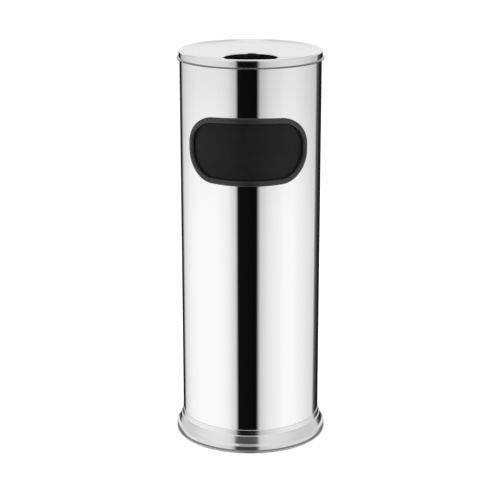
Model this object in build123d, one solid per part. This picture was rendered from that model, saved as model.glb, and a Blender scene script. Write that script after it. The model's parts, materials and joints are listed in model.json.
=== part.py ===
from build123d import *
from math import atan2, cos, degrees, pi, radians, sin, sqrt
import os

# Free-standing ashtray bin: a polished sheet-steel tube on a spun base ring, with a litter
# flap in a black moulded surround and a dished lid that drops ash into a pan underneath.
# Millimetres. Origin at the middle of the footprint on the floor, +Z up, flap towards -Y.

# Overall size
overall_height = 600.0
lid_lip_radius = 110.0
base_radius = 116.0
floor_gap = 1.0                      # the rubber foot holds the base ring this far off the floor

# Body tube
body_radius = 106.0
body_sheet = 0.7
body_bottom = 5.0
body_top = 597.9
hem_depth = 8.0
hem_fold_radius = 0.5

# Base ring, given by the middle of its sheet
base_sheet = 0.8
collar_top = 33.8
collar_foot = (107.2, 26.0)
skirt_top = (108.5, 24.4)
skirt_foot = (112.0, 14.0)
ledge_edge = (114.8, 10.8)
edge_top_height = 5.6
base_lip_radius = 108.8
base_bends = [0.7, 0.9, 2.0, 1.6, 1.8, 1.9]

# Rubber foot, clipped over the base ring's lip
foot_inner_radius = 107.0
foot_outer_radius = 112.6
foot_upper_radius = 111.6
foot_height = 3.2
fit_gap = 0.05

# Floor of the body and its rivets
floor_sheet = 0.8
floor_top = 11.3
floor_flange_foot = 5.5
floor_bend = 1.2
rivet_radius = 1.6
rivet_head_radius = 3.0
rivet_head_height = 1.0
rivet_tail_radius = 2.1
rivet_tail_length = 1.1
rivet_gap = 0.1                      # between a rivet's head or tail and the sheet
floor_rivet_count = 6
floor_rivet_start = 30               # angle of the first one from +X
floor_rivet_height = 8.0

# Litter opening. Insets are measured inwards over the curved sheet from the surround's edge.
surround_half_arc = 98.6
upper_corner_level = 472.0           # the sides are straight between these two heights
lower_corner_level = 462.0
upper_corner_height = 42.4
lower_corner_height = 45.6
upper_corner_offset = 49.5
lower_corner_offset = 50.0
crown_angle = 2.6                    # the top and bottom edges are crowned by this much
surround_face_width = 8.2
surround_outer_radius = 109.6
surround_back_radius = 104.6
bead_edge_radius = 2.2
cut_out_inset = 5.0
collar_inset = 5.3

# Frame that clamps the surround from inside and carries the flap's hinge
retainer_spread = 6.0
retainer_back_radius = 103.45
retainer_front_radius = 105.25
surround_screw_inset = 2.4
surround_screw_radius = 1.1
surround_screw_head_radius = 2.1
surround_screw_head_height = 1.5
surround_screw_tip_radius = 108.6
top_screw_offset = 18.0
bottom_screw_offset = 44.0
crown_at_top_screws = 1.2            # the crowned edges stand this far outside the corners there
crown_at_bottom_screws = 0.45

# Flap and hinge
flap_inset = 7.0
flap_front_radius = 104.2
flap_back_radius = 101.7
hinge_y = -93.5
hinge_z = 515.0
hinge_rod_radius = 1.5
hinge_rod_half_length = 36.5
running_clearance = 0.06
knuckle_inner_x = 25.5
knuckle_outer_x = 30.7
knuckle_radius = 3.2
knuckle_arm_length = 24.0
knuckle_arm_shoulder = 9.0
knuckle_arm_setback = 0.1
knuckle_pad_y = -99.2                # the arms reach into the flap below its top edge
knuckle_pad_drop = 6.6
lug_inner_x = 31.5
lug_outer_x = 34.5
lug_root_y = -103.0
lug_root_rise = 5.0
lug_root_drop = 3.0
clip_thickness = 0.8
clip_outer_radius = 2.5
clip_mouth = 2.0
clip_offset = 0.15                   # from the lug to the groove
clip_slack = 0.05                    # on each side of the clip in its groove
groove_radius = 1.2

# Liner bucket
liner_radius = 88.0
liner_sheet = 0.6
liner_bottom = 11.6
liner_rim_height = 400.4
liner_bead_radius = 1.6
liner_bead_offset = 0.9
liner_floor_height = 14.6
liner_floor_flange = 2.4
liner_floor_bend = 1.0
guide_count = 3
guide_start = 90                     # angle of the first one from +X
guide_clearance = 0.8
guide_sheet = 1.0
guide_foot_length = 9.0
guide_height = 10.0
guide_width = 10.0
guide_bend = 0.9

# Carrying handle of the liner
bail_wire_radius = 1.75
bail_pivot_height = 404.6
bail_arch_radius = 95.6
bail_bend_radius = 2.6
bail_end_x = 88.4
grip_radius = 5.0
grip_half_angle = 27.0
ear_sheet = 1.5
ear_width = 14.0
ear_offset_x = 91.0
ear_foot_height = 370.0
ear_top_height = 411.0
ear_bend_heights = (391.0, 396.5)
ear_bend = 1.6
ear_corner_radius = 6.9
ear_rivet_heights = (375.0, 386.0)

# Ash pan, hung by its flange on the top edge of the body
pan_sheet = 0.6
pan_radius = 103.75
pan_flange_radius = 105.2
pan_flange_height = 598.5
pan_bottom = 545.3
pan_bends = [0.6, 4.0]

# Lid
lid_sheet = 0.7
lid_skirt_radius = 106.85
lid_rim_radius = 103.4               # inner edge of the flat rim, from where the sheet falls to the dish
lid_lip_height = 587.5
lid_lip_bead_radius = 1.0
lid_dish_edge = (99.0, 595.9)
lid_hole_radius = 40.85
lid_hole_height = 587.7
lid_hole_lip_foot = 583.0
lid_bends = [0.8, 2.4, 2.4, 6.0, 2.0]

# Common to several pieces
disc_radius = 30.0                   # flat middle disc that each pressed floor is drawn out from
cut_margin = 2.0                     # cuts run this far past the faces they go through
pin_slack = 0.02                     # radial slack of rivets, screws and the rod in their holes
long_reach = 140.0                   # longer than any radius, for cuts that run right through
on_surface = 0.01                    # closest that counts as lying on a surface


def ring_of_profile(profile):
    """Turn a closed section in the XZ plane once round the vertical axis."""
    return revolve(Plane.XZ * profile, axis=Axis.Z)


def sheet_section(points, radii, thickness):
    """Section of bent sheet whose middle follows the points, with a round bend at each corner."""
    middle = FilletPolyline(*points, radius=radii)
    return make_face(offset(middle, thickness / 2, side=Side.BOTH))


def tube(outer_radius, inner_radius, bottom, top):
    section = make_face(Polyline((inner_radius, bottom), (outer_radius, bottom), (outer_radius, top),
                                 (inner_radius, top), close=True))
    return ring_of_profile(section)


def round_bar(centre, direction, radius, length):
    """A cylinder that starts at a point and runs along a direction."""
    return extrude(Plane(origin=centre, z_dir=direction) * Circle(radius), amount=length)


def outward(angle):
    """Unit vector that leaves the axis level at an angle from +X."""
    return (cos(radians(angle)), sin(radians(angle)), 0)


def on_wall(radius, angle, height):
    return (radius * cos(radians(angle)), radius * sin(radians(angle)), height)


# Outline of the litter opening

def opening_half_width(inset):
    """Half width of the outline seen from the front, from its arc over the body."""
    return body_radius * sin((surround_half_arc - inset) / body_radius)


def corner_outline(corner_offset, level, height, inset, turn):
    """One rounded corner of the outline, from the end of its straight side up (turn 1) or down (turn -1)."""
    return EllipticalCenterArc((corner_offset, level), opening_half_width(inset) - corner_offset,
                               height - inset, start_angle=0, arc_size=turn * (90 - crown_angle))


def opening_outline(inset):
    """Closed outline of the litter opening, drawn inside the surround's edge by the inset."""
    upper = corner_outline(upper_corner_offset, upper_corner_level, upper_corner_height, inset, 1)
    lower = corner_outline(lower_corner_offset, lower_corner_level, lower_corner_height, inset, -1)
    side = Line(upper @ 0, lower @ 0)
    crown = TangentArc(upper @ 1, (-(upper @ 1).X, (upper @ 1).Y), tangent=upper % 1)
    keel = TangentArc(lower @ 1, (-(lower @ 1).X, (lower @ 1).Y), tangent=lower % 1)
    far_side = [mirror(edge, about=Plane.YZ) for edge in (upper, side, lower)]
    return make_face([upper, side, lower, crown, keel] + far_side)


def opening_prism(inset):
    """The outline pushed from the axis out through the front wall."""
    return extrude(Plane.XZ * opening_outline(inset), amount=long_reach)


def opening_band(outer_inset, inner_inset, back_radius, front_radius):
    """A curved frame that follows the outline and lies between two radii."""
    frame = opening_prism(outer_inset) - opening_prism(inner_inset)
    return frame & tube(front_radius, back_radius, 0, overall_height)


def surround_screw_places():
    """Angle and height of each screw of the surround."""
    top_angle = degrees(top_screw_offset / body_radius)
    bottom_angle = degrees(bottom_screw_offset / body_radius)
    top_edge = upper_corner_level + upper_corner_height + crown_at_top_screws
    bottom_edge = lower_corner_level - lower_corner_height - crown_at_bottom_screws
    places = []
    for side in (-1, 1):
        places.append((-90 + side * top_angle, top_edge - surround_screw_inset))
        places.append((-90 + side * bottom_angle, bottom_edge + surround_screw_inset))
    return places


def surround_screw_bars(radius, start, end):
    bars = []
    for angle, height in surround_screw_places():
        bars.append(round_bar(on_wall(start, angle, height), outward(angle), radius, end - start))
    return bars


# Body

def body_shell():
    """Rolled tube, folded inwards at the top, cut out for the surround and drilled for its screws."""
    inner = body_radius - body_sheet
    folded = inner - body_sheet
    section = make_face(Polyline((inner, body_bottom), (body_radius, body_bottom), (body_radius, body_top),
                                 (folded, body_top), (folded, body_top - hem_depth),
                                 (inner, body_top - hem_depth), close=True))
    section = fillet(section.vertices().sort_by(Axis.Y)[-2:], hem_fold_radius)
    shell = ring_of_profile(section) - opening_prism(cut_out_inset)
    start, end = inner - cut_margin, body_radius + cut_margin
    holes = surround_screw_bars(surround_screw_radius + fit_gap, start, end)
    holes += floor_rivet_bars(rivet_radius, start, end)
    return shell - holes


def base_ring():
    """Spun ring: collar round the body, conical skirt, ledge, rounded edge and inward lip."""
    edge = base_radius - base_sheet / 2
    underside = floor_gap + base_sheet / 2
    collar = body_radius + fit_gap + base_sheet / 2
    points = [(collar, collar_top), collar_foot, skirt_top, skirt_foot, ledge_edge,
              (edge, edge_top_height), (edge, underside), (base_lip_radius, underside)]
    return ring_of_profile(sheet_section(points, base_bends, base_sheet))


def foot_ring():
    """Rubber channel that grips the inner edge of the base ring's lip."""
    groove_bottom = floor_gap - fit_gap
    groove_top = floor_gap + base_sheet + fit_gap
    groove_end = base_lip_radius - base_sheet / 2 - fit_gap
    section = make_face(Polyline((foot_inner_radius, 0), (foot_outer_radius, 0), (foot_outer_radius, groove_bottom),
                                 (groove_end, groove_bottom), (groove_end, groove_top),
                                 (foot_upper_radius, groove_top), (foot_upper_radius, foot_height),
                                 (foot_inner_radius, foot_height), close=True))
    return ring_of_profile(section)


def floor_plate():
    """Pressed floor of the body, with its edge turned down inside the tube."""
    level = floor_top - floor_sheet / 2
    edge = body_radius - body_sheet - fit_gap - floor_sheet / 2
    rim = sheet_section([(disc_radius, level), (edge, level), (edge, floor_flange_foot)], [floor_bend], floor_sheet)
    plate = ring_of_profile(rim) + Pos(0, 0, level) * Cylinder(disc_radius, floor_sheet)
    return plate - floor_rivet_bars(rivet_radius, edge - cut_margin, body_radius)


def floor_rivet_bars(radius, start, end):
    bars = []
    for place in range(floor_rivet_count):
        angle = floor_rivet_start + place * 360 / floor_rivet_count
        bars.append(round_bar(on_wall(start, angle, floor_rivet_height), outward(angle), radius, end - start))
    return bars


def floor_rivets():
    """Rivets through the tube and the floor's turned-down edge, hidden by the base ring."""
    inner_face = body_radius - body_sheet - fit_gap - floor_sheet
    head_face = body_radius + rivet_gap
    tail_face = inner_face - rivet_gap
    shanks = floor_rivet_bars(rivet_radius - pin_slack, tail_face - rivet_tail_length / 2,
                              head_face + rivet_head_height / 2)
    heads = floor_rivet_bars(rivet_head_radius, head_face, head_face + rivet_head_height)
    tails = floor_rivet_bars(rivet_tail_radius, tail_face - rivet_tail_length, tail_face)
    return [shank + head + tail for shank, head, tail in zip(shanks, heads, tails)]


def liner_guides():
    """Bent clips welded to the floor that keep the liner in the middle."""
    stand = liner_radius + guide_clearance
    level = floor_top + guide_sheet / 2
    points = [(stand + guide_foot_length, level), (stand, level), (stand, floor_top + guide_height)]
    clip = extrude(Plane.XZ * sheet_section(points, [guide_bend], guide_sheet), amount=guide_width / 2, both=True)
    clips = []
    for place in range(guide_count):
        clips.append(Rot(0, 0, guide_start + place * 360 / guide_count) * clip)
    return clips


# Litter opening

def aperture_surround():
    """Moulded bead round the opening, stepped behind to leave a collar inside the sheet's edge."""
    frame = opening_band(0, surround_face_width, surround_back_radius, surround_outer_radius)
    front = frame.edges().filter_by(lambda edge: reaches(edge, surround_outer_radius))
    bead = fillet(front, bead_edge_radius)
    step = opening_band(-cut_margin, collar_inset, surround_back_radius - cut_margin, body_radius + fit_gap)
    holes = surround_screw_bars(surround_screw_radius, body_radius - cut_margin, surround_screw_tip_radius)
    return bead - step - holes


def reaches(edge, radius):
    """Whether an edge lies on the cylinder of this radius."""
    middle = edge @ 0.5
    start = edge @ 0
    return all(abs(sqrt(point.X ** 2 + point.Y ** 2) - radius) < on_surface for point in (start, middle))


def surround_retainer():
    """Inner frame that clamps the surround to the sheet and carries the lugs of the hinge."""
    frame = opening_band(-retainer_spread, cut_out_inset, retainer_back_radius, retainer_front_radius)
    for side in (-1, 1):
        frame += hinge_lug(side)
    holes = surround_screw_bars(surround_screw_radius + fit_gap, retainer_back_radius - cut_margin,
                                retainer_front_radius + cut_margin)
    rod = round_bar((-long_reach, hinge_y, hinge_z), (1, 0, 0), hinge_rod_radius, 2 * long_reach)
    return frame - holes - rod


def hinge_lug(side):
    """Ear of the retainer that holds one end of the hinge rod."""
    plane = Plane.YZ.offset(side * lug_inner_x)
    root = make_face(Polyline((hinge_y, hinge_z + knuckle_radius), (lug_root_y, hinge_z + lug_root_rise),
                              (lug_root_y, hinge_z - lug_root_drop), (hinge_y, hinge_z - knuckle_radius), close=True))
    profile = root + Pos(hinge_y, hinge_z) * Circle(knuckle_radius)
    lug = extrude(plane * profile, amount=side * (lug_outer_x - lug_inner_x))
    return lug & Cylinder(retainer_front_radius, 2 * overall_height)


def surround_screws():
    """Screws driven from inside through the retainer and the sheet into the bead."""
    head_face = retainer_back_radius - fit_gap
    head_start = head_face - surround_screw_head_height
    shanks = surround_screw_bars(surround_screw_radius - pin_slack, (head_start + head_face) / 2,
                                 surround_screw_tip_radius)
    heads = surround_screw_bars(surround_screw_head_radius, head_start, head_face)
    return [shank + head for shank, head in zip(shanks, heads)]


def hinge_rod():
    """Steel rod through the lugs and the flap's knuckles, grooved for a clip at each end."""
    rod = round_bar((-hinge_rod_half_length, hinge_y, hinge_z), (1, 0, 0), hinge_rod_radius - pin_slack,
                    2 * hinge_rod_half_length)
    for side in (-1, 1):
        rod -= hinge_collar(side, hinge_rod_radius + cut_margin, groove_radius, lug_outer_x + clip_offset,
                            clip_thickness + 2 * clip_slack)
    return rod


def hinge_collar(side, outer_radius, inner_radius, start, thickness):
    """A flat ring round the hinge axis, beyond the lug on one side."""
    plane = Plane(origin=(side * start, hinge_y, hinge_z), z_dir=(side, 0, 0))
    return extrude(plane * (Circle(outer_radius) - Circle(inner_radius)), amount=thickness)


def hinge_clips():
    """Spring clips in the rod's grooves, open at the bottom so that they push on."""
    clips = []
    for side in (-1, 1):
        ring = hinge_collar(side, clip_outer_radius, groove_radius + pin_slack,
                            lug_outer_x + clip_offset + clip_slack, clip_thickness)
        mouth = Box(lug_outer_x, clip_mouth, 2 * clip_outer_radius)
        clips.append(ring - Pos(side * lug_outer_x, hinge_y, hinge_z - clip_outer_radius) * mouth)
    return clips


def flap_panel():
    """Curved push flap that closes on the back of the surround and hangs from two knuckles."""
    panel = opening_prism(flap_inset) & tube(flap_front_radius, flap_back_radius, 0, overall_height)
    for side in (-1, 1):
        panel += flap_knuckle(side)
    bore = round_bar((-long_reach, hinge_y, hinge_z), (1, 0, 0), hinge_rod_radius + running_clearance,
                     2 * long_reach)
    return panel - bore


def flap_knuckle(side):
    """Arm that rises from the back of the flap to the hinge rod."""
    plane = Plane.YZ.offset(side * knuckle_inner_x)
    front = hinge_y - knuckle_radius + knuckle_arm_setback
    back = hinge_y + knuckle_radius
    arm = make_face(Polyline((front, hinge_z), (front, hinge_z - knuckle_pad_drop),
                             (knuckle_pad_y, hinge_z - knuckle_pad_drop), (knuckle_pad_y, hinge_z - knuckle_arm_length),
                             (back, hinge_z - knuckle_arm_shoulder), (back, hinge_z), close=True))
    profile = arm + Pos(hinge_y, hinge_z) * Circle(knuckle_radius)
    return extrude(plane * profile, amount=side * (knuckle_outer_x - knuckle_inner_x))


# Liner

def liner_bucket():
    """Wall of the liner with a rolled bead round its rim."""
    inner = liner_radius - liner_sheet
    wall = make_face(Polyline((inner, liner_bottom), (liner_radius, liner_bottom), (liner_radius, liner_rim_height),
                              (inner, liner_rim_height), close=True))
    bead = Pos(liner_radius + liner_bead_offset, liner_rim_height) * Circle(liner_bead_radius)
    bucket = ring_of_profile(wall + bead)
    return bucket - ear_rivet_bars(rivet_radius, inner - cut_margin, liner_radius + cut_margin)


def liner_floor():
    """Separate bottom of the liner, its edge turned down inside the wall."""
    level = liner_floor_height
    edge = liner_radius - liner_sheet - fit_gap - liner_sheet / 2
    points = [(disc_radius, level), (edge, level), (edge, level - liner_floor_flange)]
    rim = sheet_section(points, [liner_floor_bend], liner_sheet)
    return ring_of_profile(rim) + Pos(0, 0, level) * Cylinder(disc_radius, liner_sheet)


def ear_rivet_bars(radius, start, end):
    bars = []
    for side in (-1, 1):
        for height in ear_rivet_heights:
            bars.append(round_bar((side * start, 0, height), (side, 0, 0), radius, end - start))
    return bars


def bail_ears():
    """Bent straps riveted to the liner's wall that stand past its bead and hold the handle."""
    wall_x = liner_radius + fit_gap + ear_sheet / 2
    hole_x = ear_offset_x + ear_sheet / 2
    points = [(wall_x, ear_foot_height), (wall_x, ear_bend_heights[0]), (hole_x, ear_bend_heights[1]),
              (hole_x, ear_top_height)]
    section = sheet_section(points, [ear_bend, ear_bend], ear_sheet)
    strap = extrude(Plane.XZ * section, amount=ear_width / 2, both=True)
    outline = Plane.YZ * (Pos(0, (ear_foot_height + ear_top_height) / 2) *
                          RectangleRounded(ear_width, ear_top_height - ear_foot_height, ear_corner_radius))
    strap &= extrude(outline, amount=long_reach)
    hole = round_bar((0, 0, bail_pivot_height), (1, 0, 0), bail_wire_radius + running_clearance, long_reach)
    strap -= [hole] + ear_rivet_bars(rivet_radius, liner_radius - cut_margin, liner_radius + ear_sheet + cut_margin)
    return [strap, mirror(strap, about=Plane.YZ)]


def ear_rivets():
    """Rivets through the liner's wall and the straps, two on each side."""
    head_face = liner_radius + fit_gap + ear_sheet + rivet_gap
    tail_face = liner_radius - liner_sheet - rivet_gap
    shanks = ear_rivet_bars(rivet_radius - pin_slack, tail_face - rivet_tail_length / 2,
                            head_face + rivet_head_height / 2)
    heads = ear_rivet_bars(rivet_head_radius, head_face, head_face + rivet_head_height)
    tails = ear_rivet_bars(rivet_tail_radius, tail_face - rivet_tail_length, tail_face)
    return [shank + head + tail for shank, head, tail in zip(shanks, heads, tails)]


def bail_path():
    """Middle line of the handle's wire: two pivots along X and an arch round the back."""
    level = bail_pivot_height
    bend = bail_bend_radius
    bend_start = bail_arch_radius - bend
    turn = bend * (1 - cos(pi / 4))
    line = Line((bail_end_x, 0, level), (bend_start, 0, level))
    corner = ThreePointArc((bend_start, 0, level), (bail_arch_radius - turn, turn, level),
                           (bail_arch_radius, bend, level))
    arch = ThreePointArc((bail_arch_radius, bend, level), (0, bend + bail_arch_radius, level),
                         (-bail_arch_radius, bend, level))
    return (line + corner + arch + mirror(line + corner, about=Plane.YZ)).wire()


def bail_wire():
    section = Plane(origin=(bail_end_x, 0, bail_pivot_height), z_dir=(1, 0, 0)) * Circle(bail_wire_radius)
    return sweep(section, path=bail_path())


def bail_grip():
    """Moulded sleeve round the middle of the handle."""
    ring = Pos(bail_arch_radius, 0) * (Circle(grip_radius) - Circle(bail_wire_radius + fit_gap))
    sleeve = revolve(Plane.XZ * ring, axis=Axis.Z, revolution_arc=2 * grip_half_angle)
    return Pos(0, bail_bend_radius, bail_pivot_height) * Rot(0, 0, 90 - grip_half_angle) * sleeve


# Ash pan and lid

def ash_pan():
    """Pan for ash and stubs: flat flange, straight wall, rounded corner and flat bottom."""
    wall = [(pan_flange_radius, pan_flange_height), (pan_radius, pan_flange_height), (pan_radius, pan_bottom),
            (disc_radius, pan_bottom)]
    side = sheet_section(wall, pan_bends, pan_sheet)
    return ring_of_profile(side) + Pos(0, 0, pan_bottom) * Cylinder(disc_radius, pan_sheet)


def lid_cap():
    """Spun lid: rolled lip, skirt over the body, flat rim, dish and the hole with its edge turned down."""
    top = overall_height - lid_sheet / 2
    lip_middle = lid_lip_radius - lid_lip_bead_radius
    points = [(lip_middle, lid_lip_height), (lid_skirt_radius, lid_lip_height), (lid_skirt_radius, top),
              (lid_rim_radius, top), lid_dish_edge, (lid_hole_radius, lid_hole_height),
              (lid_hole_radius, lid_hole_lip_foot)]
    lip = Pos(lip_middle, lid_lip_height) * Circle(lid_lip_bead_radius)
    return ring_of_profile(sheet_section(points, lid_bends, lid_sheet) + lip)


def save(name, shape):
    solids = shape if isinstance(shape, list) else [shape]
    export_step(Compound(children=[solid.solid() for solid in solids]), f"parts/{name}.step")


os.makedirs("parts", exist_ok=True)

for build in (body_shell, base_ring, foot_ring, floor_plate, floor_rivets, liner_guides, aperture_surround,
              surround_retainer, surround_screws, hinge_rod, hinge_clips, flap_panel, liner_bucket,
              liner_floor, bail_ears, ear_rivets, bail_wire, bail_grip, ash_pan, lid_cap):
    save(build.__name__, build())
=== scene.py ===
"""Looks of the ashtray bin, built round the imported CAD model.

The bright shells are lathed here again as fine meshes with exact normals, because a near-mirror
finish shows every facet. The inner parts keep their CAD shapes and get materials.
Lengths are in metres, in the frame of the CAD model: origin on the floor, +Z up, flap towards -Y.
"""
import json
import math

import bpy
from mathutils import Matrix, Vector


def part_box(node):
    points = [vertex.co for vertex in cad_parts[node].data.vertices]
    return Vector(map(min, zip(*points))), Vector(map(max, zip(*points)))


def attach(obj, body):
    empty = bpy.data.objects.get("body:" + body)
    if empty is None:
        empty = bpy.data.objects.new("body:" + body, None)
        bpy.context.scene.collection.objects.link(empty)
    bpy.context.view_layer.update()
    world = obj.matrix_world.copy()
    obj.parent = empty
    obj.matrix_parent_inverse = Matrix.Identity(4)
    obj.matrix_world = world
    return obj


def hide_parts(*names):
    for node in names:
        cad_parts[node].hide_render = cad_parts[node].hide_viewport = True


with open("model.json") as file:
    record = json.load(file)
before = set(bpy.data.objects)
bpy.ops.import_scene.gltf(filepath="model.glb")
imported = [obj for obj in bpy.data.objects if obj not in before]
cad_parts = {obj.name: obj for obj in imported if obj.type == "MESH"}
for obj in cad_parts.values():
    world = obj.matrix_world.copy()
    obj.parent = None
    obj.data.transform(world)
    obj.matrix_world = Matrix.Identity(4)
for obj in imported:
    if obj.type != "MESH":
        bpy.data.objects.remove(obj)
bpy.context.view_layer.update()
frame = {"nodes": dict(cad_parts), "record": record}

MM = 0.001
MICRON = 1e-6

# Fineness of the meshes
TURN_STEPS = 360                       # facets round each lathed shell
BEND_STEPS = 8                         # segments in each bend of the sheet
CAP_STEPS = 6                          # segments round a cut edge of the sheet
HEM_STEPS = 8                          # segments over the folded top of the tube
LIP_STEPS = 16                         # segments round the rolled lip of the lid
OPENING_STEPS = 48                     # columns of the tube from the middle of the opening to its side
OUTLINE_STEPS = 40                     # steps round each corner of the opening, and along each half edge
BEAD_STEPS = 24                        # segments over the half-round bead
SAME_PLACE = 1e-7                      # points nearer than this are one
SAME_ANGLE = 1e-9
LEAST_TURN = 2e-4                      # narrowest column of the tube, in radians

# Sizes read from the frame
body_low, body_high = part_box("body_shell")
base_low, base_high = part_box("base_ring")
_, lid_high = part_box("lid_cap")
BODY_RADIUS = body_high.x
BODY_TOP = body_high.z
BODY_BOTTOM = body_low.z
BASE_RADIUS = base_high.x
LID_LIP_RADIUS = lid_high.x
OVERALL_HEIGHT = lid_high.z

# Sheets and folds, as in the CAD model
BODY_SHEET = 0.7 * MM
HEM_DEPTH = 8.0 * MM
FIT_GAP = 0.05 * MM

# Base ring, given by the middle of its sheet, as in the CAD model
BASE_SHEET = 0.8 * MM
COLLAR_FOOT = (107.2 * MM, 26.0 * MM)
SKIRT_TOP = (108.5 * MM, 24.4 * MM)
SKIRT_FOOT = (112.0 * MM, 14.0 * MM)
LEDGE_EDGE = (114.8 * MM, 10.8 * MM)
EDGE_TOP_HEIGHT = 5.6 * MM
BASE_LIP_RADIUS = 108.8 * MM
BASE_BENDS = (0.7 * MM, 0.9 * MM, 2.0 * MM, 1.6 * MM, 1.8 * MM, 1.9 * MM)

# Lid, as in the CAD model
LID_SHEET = 0.7 * MM
LIP_BEAD_RADIUS = 1.0 * MM
LIP_HEIGHT = 587.5 * MM
LID_SKIRT_RADIUS = 106.85 * MM
LID_RIM_RADIUS = 103.4 * MM
LID_DISH_EDGE = (99.0 * MM, 595.9 * MM)
LID_HOLE_RADIUS = 40.85 * MM
LID_HOLE_HEIGHT = 587.7 * MM
LID_HOLE_LIP_FOOT = 583.0 * MM
LID_BENDS = (0.8 * MM, 2.4 * MM, 2.4 * MM, 6.0 * MM, 2.0 * MM)

# Litter opening, as in the CAD model
HALF_ARC = 98.6 * MM
UPPER_LEVEL = 472.0 * MM               # the sides are straight between these two heights
LOWER_LEVEL = 462.0 * MM
UPPER_HEIGHT = 42.4 * MM
LOWER_HEIGHT = 45.6 * MM
UPPER_CORNER_OFFSET = 49.5 * MM
LOWER_CORNER_OFFSET = 50.0 * MM
CROWN_ANGLE = math.radians(2.6)
FACE_WIDTH = 8.2 * MM
CUT_OUT_INSET = 5.0 * MM
BEAD_TOP_RADIUS = 109.6 * MM
BEAD_FULLNESS = 0.62                   # 1 is a plain half ellipse, less is squarer
COLLAR_INSET = 5.3 * MM
COLLAR_END_RADIUS = 104.6 * MM

# Camera
CAMERA_AZIMUTH = math.radians(3.1)
CAMERA_DISTANCE = 2.25
CAMERA_HEIGHT = 0.938
CAMERA_TILT = math.radians(16.09)
CAMERA_LENS = 109.4                    # on a 36 mm sensor
CAMERA_AIM_OFFSET = -0.9 * MM

# Studio. The walls are what the bright steel reflects, by degrees round from the camera's own side
# towards its right; heights in the studio are sines of the elevation, from -1 to 1.
LOW_WALLS = ((-180, 0.015), (-152, 0.018), (-147, 0.38), (-142, 0.7), (-118, 0.92), (-94, 0.985),
             (-58, 0.985), (-38, 0.9), (-25, 0.65), (-22.3, 0.36), (-20.7, 0.005), (9.5, 0.003),
             (12.3, 0.24), (14, 0.5), (17, 0.64), (30, 0.82), (58, 0.97), (75, 0.97), (106, 0.82),
             (130, 0.69), (136, 0.12), (149, 0.015), (180, 0.015))
HIGH_WALLS = ((-180, 0.88), (-150, 0.88), (-130, 0.74), (-110, 0.68), (-86, 0.82), (-54, 0.88),
              (-40, 0.84), (-27, 0.72), (-22, 0.0), (10, 0.0), (14, 0.7), (31, 0.82), (60, 0.78),
              (85, 0.68), (110, 0.66), (130, 0.72), (150, 0.88), (180, 0.88))
GAP_TONES = ((-1.0, 0.005), (-0.13, 0.01), (-0.08, 0.07), (0.02, 0.08), (0.12, 0.07), (0.36, 0.075),
             (0.6, 0.28), (0.86, 0.34), (0.95, 0.6), (1.0, 0.9))     # in the gap of the high walls
LOW_WALL_FADE = (-0.13, -0.27)         # between these heights the low walls gain their full tone
LOW_WALL_FADE_TONES = (0.78, 1.0)
WALLS_MEET = (-0.15, -0.1)             # between these heights the low walls give way to the high ones
WHITE = 1.15                           # light on the floor, and backdrop
FLOOR_REACH = 30.0
FLOOR_TONE = 0.9
# The grey ring round the base is painted shadow: it glows dark grey, is seen only in the steel, and stands
# in for the shade on the floor by the base.
CARD_START = BASE_RADIUS + 1.5 * MM
CARD_END = BASE_RADIUS + 16 * MM
CARD_HEIGHT = 0.5 * MM
PAINTED_SHADOW_TONE = 0.2
CARD_STEPS = 96
TOP_LIGHT_PLACE = (0, -0.6, 3.0)
TOP_LIGHT_SIZE = 3.0
TOP_LIGHT_POWER = 60
TOP_LIGHT_AIM = (0, 0, 0.3)


# ---------------------------------------------------------------- mesh helpers

def bent_path(points, radii):
    """Points along a path with a round bend at each inner corner, each with its left-hand normal."""
    path = []
    start = Vector(points[0])
    for corner, after, radius in zip(points[1:-1], points[2:], radii):
        corner, after = Vector(corner), Vector(after)
        into = (corner - start).normalized()
        out = (after - corner).normalized()
        turn = into.angle_signed(out)
        reach = radius * math.tan(abs(turn) / 2)
        bend_start = corner - into * reach
        side = -1 if turn > 0 else 1
        left_in = Vector((-into.y, into.x))
        centre = bend_start + left_in * radius * side
        add_straight(path, start, bend_start, left_in)
        for step in range(1, BEND_STEPS + 1):
            part = -turn * step / BEND_STEPS
            normal = rotate(left_in, part)
            path.append((centre - normal * radius * side, normal))
        start = centre - rotate(left_in, -turn) * radius * side
    end = Vector(points[-1])
    into = (end - start).normalized()
    add_straight(path, start, end, Vector((-into.y, into.x)))
    return path


def rotate(vector, angle):
    """Turn a flat vector anticlockwise."""
    c, s = math.cos(angle), math.sin(angle)
    return Vector((c * vector.x - s * vector.y, s * vector.x + c * vector.y))


def add_straight(path, start, end, normal):
    """Add the end of a straight run, and its start too where the path is still empty."""
    if not path:
        path.append((start, normal))
    if (end - path[-1][0]).length > SAME_PLACE:
        path.append((end, normal))


def round_cap(point, normal, half):
    """The rounded edge that joins one face of the sheet to the other at its end."""
    turns = [rotate(normal, -math.pi * k / CAP_STEPS) for k in range(1, CAP_STEPS)]
    return [(point + turned * half, turned) for turned in turns]


def sheet_profile(points, radii, thickness):
    """Closed section of bent sheet as (point, normal) pairs, with rounded edges."""
    middle = bent_path(points, radii)
    half = thickness / 2
    left = [(p + n * half, n) for p, n in middle]
    right = [(p - n * half, -n) for p, n in reversed(middle)]
    end_point, end_normal = middle[-1]
    start_point, start_normal = middle[0]
    end_cap = round_cap(end_point, end_normal, half)
    start_cap = round_cap(start_point, -start_normal, half)
    return left + end_cap + right + start_cap


def finish_mesh(name, vertices, faces, normals=None, smooth=True):
    """Make an object of the mesh, with exact normals where they are given."""
    mesh = bpy.data.meshes.new(name)
    mesh.from_pydata([tuple(v) for v in vertices], [], faces)
    mesh.polygons.foreach_set("use_smooth", [smooth] * len(mesh.polygons))
    mesh.update()
    if normals is not None:
        mesh.normals_split_custom_set_from_vertices([tuple(n) for n in normals])
    piece = bpy.data.objects.new(name, mesh)
    bpy.context.collection.objects.link(piece)
    return piece


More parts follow.
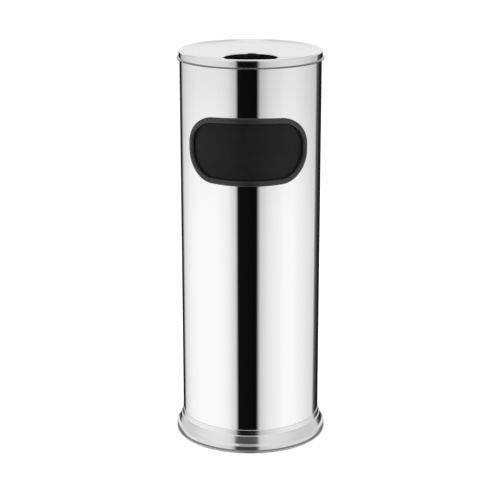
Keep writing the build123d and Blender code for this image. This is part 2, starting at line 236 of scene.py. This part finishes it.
def lathe(name, profile):
    """Turn a closed profile of (point, normal) pairs once round the vertical axis."""
    vertices, normals, faces = [], [], []
    count = len(profile)
    for step in range(TURN_STEPS):
        angle = 2 * math.pi * step / TURN_STEPS
        c, s = math.cos(angle), math.sin(angle)
        for point, normal in profile:
            vertices.append((point.x * c, point.x * s, point.y))
            normals.append((normal.x * c, normal.x * s, normal.y))
    for step in range(TURN_STEPS):
        here, there = step * count, (step + 1) % TURN_STEPS * count
        for k in range(count):
            after = (k + 1) % count
            faces.append((here + k, here + after, there + after, there + k))
    return finish_mesh(name, vertices, faces, normals)


# ---------------------------------------------------------------- litter opening

def half_width(inset):
    """Half width of the outline seen from the front, from its arc over the tube."""
    return BODY_RADIUS * math.sin((HALF_ARC - inset) / BODY_RADIUS)


def corner(offset, height, inset):
    """Half axes of one rounded corner of the outline, and where its crowned edge starts."""
    across = half_width(inset) - offset
    up = height - inset
    start = Vector((offset + across * math.sin(CROWN_ANGLE), up * math.cos(CROWN_ANGLE)))
    slope = up / across * math.tan(CROWN_ANGLE)
    return across, up, start, slope


def edge_height(x, offset, height, inset):
    """How far the outline stands above, or below, the end of its straight side, at x from the middle."""
    across, up, start, slope = corner(offset, height, inset)
    x = min(abs(x), half_width(inset))
    if x > start.x:
        return up * math.sqrt(max(0.0, 1 - ((x - offset) / across) ** 2))
    return start.y + slope * (start.x ** 2 - x ** 2) / (2 * start.x)


def outline_points():
    """Points (x, z, outward x, outward z) once round the outline, seen from the front."""
    upper = quarter_points(UPPER_CORNER_OFFSET, UPPER_LEVEL, UPPER_HEIGHT, 1)
    lower = quarter_points(LOWER_CORNER_OFFSET, LOWER_LEVEL, LOWER_HEIGHT, -1)
    mirrored = [[(-x, z, -nx, nz) for x, z, nx, nz in quarter] for quarter in (upper, lower)]
    return (upper + mirrored[0][-2::-1]) + (mirrored[1] + lower[-2::-1])


def quarter_points(offset, level, height, turn):
    """One rounded corner and half of its crowned edge, from the straight side to the middle."""
    across, up, start, slope = corner(offset, height, 0.0)
    points = []
    for k in range(OUTLINE_STEPS + 1):
        angle = (math.pi / 2 - CROWN_ANGLE) * k / OUTLINE_STEPS
        points.append((offset + across * math.cos(angle), level + turn * up * math.sin(angle),
                       up * math.cos(angle), turn * across * math.sin(angle)))
    for k in range(1, OUTLINE_STEPS + 1):
        x = start.x * (1 - k / OUTLINE_STEPS)
        rise = start.y + slope * (start.x ** 2 - x ** 2) / (2 * start.x)
        points.append((x, level + turn * rise, slope * x / start.x, turn))
    return points


# ---------------------------------------------------------------- steel shells

OUT, INTO, DOWN = Vector((1, 0)), Vector((-1, 0)), Vector((0, -1))


def tube_angles(end_angle):
    """Angles from the front of the tube's columns, closer together over the opening."""
    angles = sorted({*(2 * math.pi * k / TURN_STEPS - math.pi for k in range(TURN_STEPS)),
                     *(end_angle * math.sin(math.pi / 2 * k / OPENING_STEPS)
                       for k in range(-OPENING_STEPS, OPENING_STEPS + 1))})
    return [angle for k, angle in enumerate(angles)
            if k == 0 or angle - angles[k - 1] > LEAST_TURN or abs(angle) == end_angle]


def hem_section(outer, inner, folded):
    """The folded top edge of the tube, from its outer face over to the inner one."""
    crown = BODY_TOP - BODY_SHEET
    hem_foot = BODY_TOP - HEM_DEPTH
    section = [(Vector((outer, crown)), OUT)]
    for k in range(1, HEM_STEPS):
        turned = Vector((math.cos(math.pi * k / HEM_STEPS), math.sin(math.pi * k / HEM_STEPS)))
        section.append((Vector(((outer + folded) / 2, crown)) + turned * BODY_SHEET, turned))
    return section + [(Vector((folded, crown)), INTO), (Vector((folded, hem_foot)), INTO),
                      (Vector((folded, hem_foot)), DOWN), (Vector((inner, hem_foot)), DOWN),
                      (Vector((inner, hem_foot)), INTO)]


def tube_column(angle, in_front, hem, outer, inner):
    """Section of the tube at one angle, parted where the opening is."""
    low, high = LOWER_LEVEL, UPPER_LEVEL
    if in_front:
        x = BODY_RADIUS * math.sin(angle)
        low -= edge_height(x, LOWER_CORNER_OFFSET, LOWER_HEIGHT, CUT_OUT_INSET)
        high += edge_height(x, UPPER_CORNER_OFFSET, UPPER_HEIGHT, CUT_OUT_INSET)
    before = [(Vector((inner, BODY_BOTTOM)), DOWN), (Vector((outer, BODY_BOTTOM)), DOWN),
              (Vector((outer, BODY_BOTTOM)), OUT), (Vector((outer, low)), OUT),
              (Vector((outer, high)), OUT)]
    behind = [(Vector((inner, high)), INTO), (Vector((inner, low)), INTO),
              (Vector((inner, BODY_BOTTOM)), INTO)]
    return before + hem + behind


def tube_faces(open_columns, count):
    """Faces between neighbouring columns, left out where both are open, with the sheet's cut edge."""
    outer_low, outer_high = 3, 4
    inner_high, inner_low = count - 3, count - 2
    faces = []
    for k, open_here in enumerate(open_columns):
        following = (k + 1) % len(open_columns)
        open_there = open_columns[following]
        here, there = k * count, following * count
        cut = open_here and open_there
        for row in range(count):
            after = (row + 1) % count
            if cut and row in (outer_low, inner_high):
                continue
            faces.append((here + row, there + row, there + after, here + after))
        if cut:
            faces.append((here + outer_low, there + outer_low, there + inner_low, here + inner_low))
            faces.append((here + inner_high, there + inner_high, there + outer_high, here + outer_high))
        elif open_here:
            faces.append((here + outer_low, here + inner_low, here + inner_high, here + outer_high))
        elif open_there:
            faces.append((there + outer_low, there + outer_high, there + inner_high, there + inner_low))
    return faces


def body_tube():
    """Rolled tube with its folded top edge, open where the surround sits."""
    outer, inner = BODY_RADIUS, BODY_RADIUS - BODY_SHEET
    end_angle = math.asin(half_width(CUT_OUT_INSET) / BODY_RADIUS)
    hem = hem_section(outer, inner, inner - BODY_SHEET)
    vertices, normals, open_columns = [], [], []
    for angle in tube_angles(end_angle):
        in_front = abs(angle) <= end_angle + SAME_ANGLE
        column = tube_column(angle, in_front, hem, outer, inner)
        for point, normal in column:
            vertices.append((point.x * math.sin(angle), -point.x * math.cos(angle), point.y))
            normals.append((normal.x * math.sin(angle), -normal.x * math.cos(angle), normal.y))
        open_columns.append(in_front)
    tube = finish_mesh("body_tube", vertices, tube_faces(open_columns, len(column)), normals)
    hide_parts("body_shell")
    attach(tube, "body")
    return tube


def base_skirt():
    """Spun base ring: collar, conical skirt, ledge, rounded edge and inward lip."""
    half = BASE_SHEET / 2
    edge = BASE_RADIUS - half
    underside = base_low.z + half
    collar_top = (BODY_RADIUS + FIT_GAP + half, base_high.z - half)
    points = [collar_top, COLLAR_FOOT, SKIRT_TOP, SKIRT_FOOT, LEDGE_EDGE,
              (edge, EDGE_TOP_HEIGHT), (edge, underside), (BASE_LIP_RADIUS, underside)]
    ring = lathe("base_skirt", sheet_profile(points, BASE_BENDS, BASE_SHEET))
    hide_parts("base_ring")
    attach(ring, "body")
    return ring


def lid_dish():
    """Spun lid: skirt, flat rim, dish and the hole with its edge turned down, and apart its rolled lip."""
    top = OVERALL_HEIGHT - LID_SHEET / 2
    lip = LID_LIP_RADIUS - LIP_BEAD_RADIUS
    points = [(lip, LIP_HEIGHT), (LID_SKIRT_RADIUS, LIP_HEIGHT), (LID_SKIRT_RADIUS, top),
              (LID_RIM_RADIUS, top), LID_DISH_EDGE, (LID_HOLE_RADIUS, LID_HOLE_HEIGHT),
              (LID_HOLE_RADIUS, LID_HOLE_LIP_FOOT)]
    dish = lathe("lid_dish", sheet_profile(points, LID_BENDS, LID_SHEET))
    turns = [Vector((math.cos(angle), math.sin(angle)))
             for angle in (-2 * math.pi * k / LIP_STEPS for k in range(LIP_STEPS))]
    bead = [(Vector((lip, LIP_HEIGHT)) + turned * LIP_BEAD_RADIUS, turned) for turned in turns]
    edge = lathe("lid_lip_bead", bead)
    for piece in (dish, edge):
        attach(piece, "lid")
    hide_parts("lid_cap")
    return dish, edge


# ---------------------------------------------------------------- surround

def bead_section():
    """Half-round face and the collar behind it, as (distance in from the edge, rise over the tube)."""
    height = BEAD_TOP_RADIUS - BODY_RADIUS
    across = FACE_WIDTH / 2
    section = []
    for k in range(BEAD_STEPS + 1):
        angle = math.pi * k / BEAD_STEPS
        section.append((across - across * math.cos(angle), height * math.sin(angle) ** BEAD_FULLNESS))
    collar_end = COLLAR_END_RADIUS - BODY_RADIUS
    return section + [(FACE_WIDTH, collar_end), (COLLAR_INSET, collar_end), (COLLAR_INSET, FIT_GAP)]


def surround_bead():
    """Moulded bead and collar, swept round the outline on the curved wall."""
    section = bead_section()
    outline = outline_points()
    vertices, faces = [], []
    for x, z, nx, nz in outline:
        arc = math.asin(max(-1.0, min(1.0, x / BODY_RADIUS)))
        out = Vector((nx, nz)).normalized()
        out = Vector((out.x * math.cos(arc), out.y)).normalized()
        for inset, rise in section:
            turn = arc - out.x * inset / BODY_RADIUS
            radius = BODY_RADIUS + rise
            vertices.append((radius * math.sin(turn), -radius * math.cos(turn), z - out.y * inset))
    count, rings = len(section), len(outline)
    for ring in range(rings):
        here, there = ring * count, (ring + 1) % rings * count
        for k in range(count):
            after = (k + 1) % count
            faces.append((here + k, there + k, there + after, here + after))
    bead = finish_mesh("surround_bead", vertices, faces)
    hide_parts("aperture_surround")
    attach(bead, "body")
    return bead


# ---------------------------------------------------------------- node helpers

def feed(links, value, socket):
    """Give a socket a plain number or another node's output."""
    if isinstance(value, (int, float)):
        socket.default_value = value
    else:
        links.new(value, socket)


def calculate(nodes, links, operation, *values):
    node = nodes.new("ShaderNodeMath")
    node.operation = operation
    for value, socket in zip(values, node.inputs):
        feed(links, value, socket)
    return node.outputs[0]


def map_range(nodes, links, value, source, target, smooth=False):
    node = nodes.new("ShaderNodeMapRange")
    node.interpolation_type = "SMOOTHSTEP" if smooth else "LINEAR"
    node.inputs["From Min"].default_value, node.inputs["From Max"].default_value = source
    node.inputs["To Min"].default_value, node.inputs["To Max"].default_value = target
    links.new(value, node.inputs["Value"])
    return node.outputs["Result"]


def blend(nodes, links, factor, first, second):
    node = nodes.new("ShaderNodeMix")
    for value, name in ((factor, "Factor"), (first, "A"), (second, "B")):
        feed(links, value, node.inputs[name])
    return node.outputs["Result"]


def ramp(nodes, links, value, stops):
    """Grey tones by position, from 0 to 1."""
    node = nodes.new("ShaderNodeValToRGB")
    elements = node.color_ramp.elements
    for element, (position, tone) in ((elements[0], stops[0]), (elements[1], stops[-1])):
        element.position = position
        element.color = (tone, tone, tone, 1)
    for position, tone in stops[1:-1]:
        elements.new(position).color = (tone, tone, tone, 1)
    links.new(value, node.inputs["Fac"])
    return node.outputs["Color"]


# ---------------------------------------------------------------- materials

NOISE_SPAN = (0.3, 0.7)                # nearly all values of a noise lie in this span


class Finish:
    """A Principled material, its textures laid on the object so that a scale is marks per metre."""

    def __init__(self, name, colour, roughness, metallic=0.0, specular=0.5):
        self.material = bpy.data.materials.new(name)
        self.material.use_nodes = True
        self.nodes = self.material.node_tree.nodes
        self.links = self.material.node_tree.links
        self.shader = self.nodes["Principled BSDF"]
        self.colour = colour
        self.shader.inputs["Base Color"].default_value = (*colour, 1)
        self.shader.inputs["Roughness"].default_value = roughness
        self.shader.inputs["Metallic"].default_value = metallic
        self.shader.inputs["Specular IOR Level"].default_value = specular
        self.place = self.nodes.new("ShaderNodeTexCoord").outputs["Object"]
        self.relief = None

    def split_place(self):
        """X, Y and Z of the place on the object."""
        split = self.nodes.new("ShaderNodeSeparateXYZ")
        self.links.new(self.place, split.inputs[0])
        return split.outputs

    def drawn_upwards(self, scale):
        """Coordinates in which a pattern is drawn out along the axis, by a scale below 1."""
        mapping = self.nodes.new("ShaderNodeMapping")
        mapping.inputs["Scale"].default_value = (1, 1, scale)
        self.links.new(self.place, mapping.inputs["Vector"])
        return mapping.outputs["Vector"]

    def radial(self):
        """Distance from the axis and height, in which a pattern becomes rings."""
        place = self.split_place()
        flat = self.nodes.new("ShaderNodeCombineXYZ")
        self.links.new(place["X"], flat.inputs["X"])
        self.links.new(place["Y"], flat.inputs["Y"])
        reach = self.nodes.new("ShaderNodeVectorMath")
        reach.operation = "LENGTH"
        self.links.new(flat.outputs[0], reach.inputs[0])
        joined = self.nodes.new("ShaderNodeCombineXYZ")
        self.links.new(reach.outputs["Value"], joined.inputs["X"])
        self.links.new(place["Z"], joined.inputs["Y"])
        return joined.outputs[0]

    def noise(self, scale, detail, vector=None):
        """Soft random pattern, on the object itself or in the coordinates given."""
        node = self.nodes.new("ShaderNodeTexNoise")
        node.inputs["Scale"].default_value = scale
        node.inputs["Detail"].default_value = detail
        self.links.new(vector or self.place, node.inputs["Vector"])
        return node.outputs["Fac"]

    def crystals(self, scale):
        """A value of its own, from 0 to 1, for each cell."""
        node = self.nodes.new("ShaderNodeTexVoronoi")
        node.inputs["Scale"].default_value = scale
        self.links.new(self.place, node.inputs["Vector"])
        split = self.nodes.new("ShaderNodeSeparateColor")
        self.links.new(node.outputs["Color"], split.inputs[0])
        return split.outputs[0]

    def vary_roughness(self, pattern, low, high):
        """Let the roughness follow the pattern between two values."""
        spread = map_range(self.nodes, self.links, pattern, NOISE_SPAN, (low, high))
        self.links.new(spread, self.shader.inputs["Roughness"])

    def vary_colour(self, pattern, dark, light, span=NOISE_SPAN):
        """Blend from a dark to a light multiple of the base colour where the pattern rises."""
        node = self.nodes.new("ShaderNodeValToRGB")
        for element, position, factor in zip(node.color_ramp.elements, span, (dark, light)):
            element.position = position
            element.color = (*(min(1.0, channel * factor) for channel in self.colour), 1)
        self.links.new(pattern, node.inputs["Fac"])
        self.links.new(node.outputs["Color"], self.shader.inputs["Base Color"])

    def bump(self, pattern, depth):
        """Raise the surface by the pattern, to a depth in metres."""
        node = self.nodes.new("ShaderNodeBump")
        node.inputs["Distance"].default_value = depth
        self.links.new(pattern, node.inputs["Height"])
        if self.relief is not None:
            self.links.new(self.relief, node.inputs["Normal"])
        self.relief = node.outputs["Normal"]
        self.links.new(self.relief, self.shader.inputs["Normal"])


WELD_FADE = (0.9 * MM, 0.2 * MM)       # half width of the weld line, from its edge to its full depth
WELD_START = 50 * MM                   # the line shows only behind this, on the back of the tube
WELD_DULLNESS = 0.07                   # added to the roughness


def weld_line(finish):
    """1 on a thin line up the back of the tube, 0 elsewhere."""
    nodes, links = finish.nodes, finish.links
    place = finish.split_place()
    aside = calculate(nodes, links, "ABSOLUTE", place["X"])
    line = map_range(nodes, links, aside, WELD_FADE, (0, 1), smooth=True)
    behind = calculate(nodes, links, "GREATER_THAN", place["Y"], WELD_START)
    return calculate(nodes, links, "MULTIPLY", line, behind)


def polished_sheet():
    """Mirror-polished rolled sheet, a little wavy, with a planished weld up the back."""
    finish = Finish("polished_sheet", (0.97, 0.97, 0.97), 0.04, metallic=1.0)
    nodes, links = finish.nodes, finish.links
    grain = finish.noise(60, 3, finish.drawn_upwards(0.06))
    shine = map_range(nodes, links, grain, NOISE_SPAN, (0.03, 0.045))
    seam = weld_line(finish)
    roughness = calculate(nodes, links, "MULTIPLY_ADD", seam, WELD_DULLNESS, shine)
    links.new(roughness, finish.shader.inputs["Roughness"])
    finish.bump(seam, 10 * MICRON)
    finish.bump(finish.noise(9, 1), 50 * MICRON)
    return finish.material


def spun_steel(name, tone, roughness):
    """Polished spun sheet, with the faint rings that the spinning tool leaves."""
    finish = Finish(name, (tone, tone, tone * 1.005), roughness, metallic=1.0)
    rings = finish.noise(900, 2, finish.radial())
    finish.vary_roughness(finish.noise(45, 3), roughness * 0.85, roughness * 1.2)
    finish.bump(rings, 4 * MICRON)
    return finish.material


def galvanised_steel():
    """Zinc spangle: flat crystals a few millimetres across, each with its own tone."""
    finish = Finish("galvanised_steel", (0.56, 0.58, 0.6), 0.42, metallic=1.0)
    spangle = finish.crystals(160)
    finish.vary_colour(spangle, 0.78, 1.15, span=(0.0, 1.0))
    finish.vary_roughness(spangle, 0.34, 0.5)
    finish.bump(finish.noise(700, 3), 30 * MICRON)
    return finish.material


def pan_steel():
    """Plain dull steel, its colour darkened as painted shade so that the hole in the lid reads black, and
    darkest in patches.
    """
    finish = Finish("pan_steel", (0.16, 0.155, 0.15), 0.5, metallic=0.85)
    finish.vary_colour(finish.noise(28, 6), 0.45, 1.3)
    finish.vary_roughness(finish.noise(90, 4), 0.42, 0.68)
    finish.bump(finish.noise(420, 3), 40 * MICRON)
    return finish.material


def fastener_steel():
    """Bright plating, handled enough to be uneven."""
    finish = Finish("fastener_steel", (0.62, 0.62, 0.63), 0.3, metallic=1.0)
    finish.vary_roughness(finish.noise(600, 3), 0.24, 0.4)
    finish.vary_colour(finish.noise(260, 3), 0.86, 1.08)
    return finish.material


def moulded_plastic(name, tone, roughness, specular, grain):
    """Moulded plastic with a fine spark-eroded grain and a little unevenness in its shine."""
    finish = Finish(name, (tone, tone, tone), roughness, specular=specular)
    finish.vary_colour(finish.noise(38, 3), 0.85, 1.15)
    finish.vary_roughness(finish.noise(110, 4), roughness * 0.92, roughness * 1.08)
    finish.bump(finish.noise(2600, 2), grain)
    return finish.material


def foot_rubber():
    """Dark rubber, greyed unevenly by the ground."""
    finish = Finish("foot_rubber", (0.018, 0.018, 0.019), 0.75)
    finish.vary_colour(finish.noise(240, 5), 0.7, 1.9)
    finish.bump(finish.noise(1500, 3), 60 * MICRON)
    return finish.material


MATERIALS = {
    "polished_steel": polished_sheet(),
    "lid_steel": spun_steel("lid_steel", 0.9, 0.07),
    # The lip gets a much darker copy of the lid's steel: painted shade, for the thin line of shadow under
    # the lip.
    "lid_lip_painted_shade": spun_steel("lid_lip_painted_shade", 0.2, 0.25),
    "base_steel": spun_steel("base_steel", 0.87, 0.13),
    "galvanised_steel": galvanised_steel(),
    "pan_steel": pan_steel(),
    "fastener_steel": fastener_steel(),
    "black_plastic": moulded_plastic("black_plastic", 0.012, 0.3, 0.5, 4 * MICRON),
    "flap_plastic": moulded_plastic("flap_plastic", 0.007, 0.42, 0.14, 10 * MICRON),
    "retainer_plastic": moulded_plastic("retainer_plastic", 0.02, 0.5, 0.4, 20 * MICRON),
    "grip_plastic": moulded_plastic("grip_plastic", 0.03, 0.48, 0.4, 30 * MICRON),
    "foot_rubber": foot_rubber(),
}


def dress(piece, material_name):
    """Give a piece one material in place of any it has."""
    piece.data.materials.clear()
    piece.data.materials.append(MATERIALS[material_name])


# ---------------------------------------------------------------- studio

def round_the_studio(stops):
    """Stops given round from the camera's side, as sorted fractions of a turn from the back."""
    start = math.degrees(CAMERA_AZIMUTH) + 180
    return sorted(((start + angle) % 360 / 360, tone) for angle, tone in stops)


def studio_world():
    """White studio, in which bright steel sees a dark gap behind the camera and a dark low back."""
    world = bpy.data.worlds.new("studio")
    bpy.context.scene.world = world
    world.use_nodes = True
    nodes, links = world.node_tree.nodes, world.node_tree.links
    nodes.clear()
    direction = nodes.new("ShaderNodeSeparateXYZ")
    links.new(nodes.new("ShaderNodeTexCoord").outputs["Generated"], direction.inputs[0])
    height = direction.outputs["Z"]
    forward = calculate(nodes, links, "MULTIPLY", direction.outputs["Y"], -1)
    azimuth = calculate(nodes, links, "ARCTAN2", direction.outputs["X"], forward)
    turn = map_range(nodes, links, azimuth, (-math.pi, math.pi), (0, 1))
    low = ramp(nodes, links, turn, round_the_studio(LOW_WALLS))
    fade = map_range(nodes, links, height, LOW_WALL_FADE, LOW_WALL_FADE_TONES, smooth=True)
    low = calculate(nodes, links, "MULTIPLY", low, fade)
    gap = ramp(nodes, links, map_range(nodes, links, height, (-1, 1), (0, 1)),
               [((level + 1) / 2, tone) for level, tone in GAP_TONES])
    high = ramp(nodes, links, turn, round_the_studio(HIGH_WALLS))
    high = calculate(nodes, links, "MAXIMUM", high, gap)
    rise = map_range(nodes, links, height, WALLS_MEET, (0, 1), smooth=True)
    walls = blend(nodes, links, rise, low, high)
    reflected = nodes.new("ShaderNodeLightPath").outputs["Is Glossy Ray"]
    background = nodes.new("ShaderNodeBackground")
    links.new(blend(nodes, links, reflected, WHITE, walls), background.inputs["Color"])
    links.new(background.outputs[0], nodes.new("ShaderNodeOutputWorld").inputs["Surface"])


def studio_floor():
    """Plain pale floor, left out of reflections, where the studio's low walls stand for it."""
    signs = ((-1, -1), (1, -1), (1, 1), (-1, 1))
    corners = [(x * FLOOR_REACH, y * FLOOR_REACH, 0) for x, y in signs]
    floor = finish_mesh("floor", corners, [(0, 1, 2, 3)], smooth=False)
    paint = Finish("floor_paint", (FLOOR_TONE, FLOOR_TONE, FLOOR_TONE), 0.9, specular=0.0)
    floor.data.materials.append(paint.material)
    floor.visible_glossy = False


def painted_shadow_ring():
    """Grey ring on the floor round the base, glowing and seen only in reflections: painted shadow, there
    only to darken what the base's edge reflects, in place of the floor's contact shade.
    """
    steps = CARD_STEPS
    angles = [2 * math.pi * k / steps for k in range(steps)]
    vertices = [(radius * math.cos(angle), radius * math.sin(angle), CARD_HEIGHT)
                for radius in (CARD_START, CARD_END) for angle in angles]
    faces = [(k, steps + k, steps + (k + 1) % steps, (k + 1) % steps) for k in range(steps)]
    card = finish_mesh("painted_shadow_ring", vertices, faces, smooth=False)
    # Painted shadow: the ring's dark grey glow.
    finish = Finish("painted_shadow_grey", (0.0, 0.0, 0.0), 1.0, specular=0.0)
    finish.shader.inputs["Emission Color"].default_value = (PAINTED_SHADOW_TONE, PAINTED_SHADOW_TONE, PAINTED_SHADOW_TONE, 1)
    finish.shader.inputs["Emission Strength"].default_value = 1.0
    card.data.materials.append(finish.material)
    card.visible_camera = False
    card.visible_diffuse = False
    card.visible_shadow = False


def top_light():
    """Large soft light overhead, which lights the dull surfaces but isn't seen in the steel."""
    light = bpy.data.lights.new("top_light", "AREA")
    light.size = TOP_LIGHT_SIZE
    light.energy = TOP_LIGHT_POWER
    lamp = bpy.data.objects.new("top_light", light)
    lamp.location = TOP_LIGHT_PLACE
    lamp.rotation_euler = (Vector(TOP_LIGHT_AIM) - lamp.location).to_track_quat("-Z", "Y").to_euler()
    lamp.visible_glossy = False
    bpy.context.collection.objects.link(lamp)


def studio_camera():
    """Camera in front and above, aimed down at the axis."""
    data = bpy.data.cameras.new("camera")
    data.lens = CAMERA_LENS
    camera = bpy.data.objects.new("camera", data)
    bpy.context.collection.objects.link(camera)
    right = Vector((math.cos(CAMERA_AZIMUTH), math.sin(CAMERA_AZIMUTH), 0))
    back = Vector((math.sin(CAMERA_AZIMUTH), -math.cos(CAMERA_AZIMUTH), 0))
    camera.location = back * CAMERA_DISTANCE + Vector((0, 0, CAMERA_HEIGHT))
    drop = CAMERA_DISTANCE * math.tan(CAMERA_TILT)
    aim = right * CAMERA_AIM_OFFSET + Vector((0, 0, CAMERA_HEIGHT - drop))
    camera.rotation_euler = (aim - camera.location).to_track_quat("-Z", "Y").to_euler()
    bpy.context.scene.camera = camera


# ---------------------------------------------------------------- assembly

slots = {entry["node"]: entry["material_slot"] for entry in frame["record"]["subparts"]}
for node_name, node in frame["nodes"].items():
    dress(node, slots[node_name])

dress(body_tube(), "polished_steel")
dress(base_skirt(), "base_steel")
dress(surround_bead(), "black_plastic")
# The lip bead takes the darkened copy of the lid steel, which is painted shade under the lip.
for piece, material_name in zip(lid_dish(), ("lid_steel", "lid_lip_painted_shade")):
    dress(piece, material_name)

studio_world()
studio_floor()
painted_shadow_ring()
top_light()
studio_camera()
bpy.context.scene.view_settings.view_transform = "Standard"
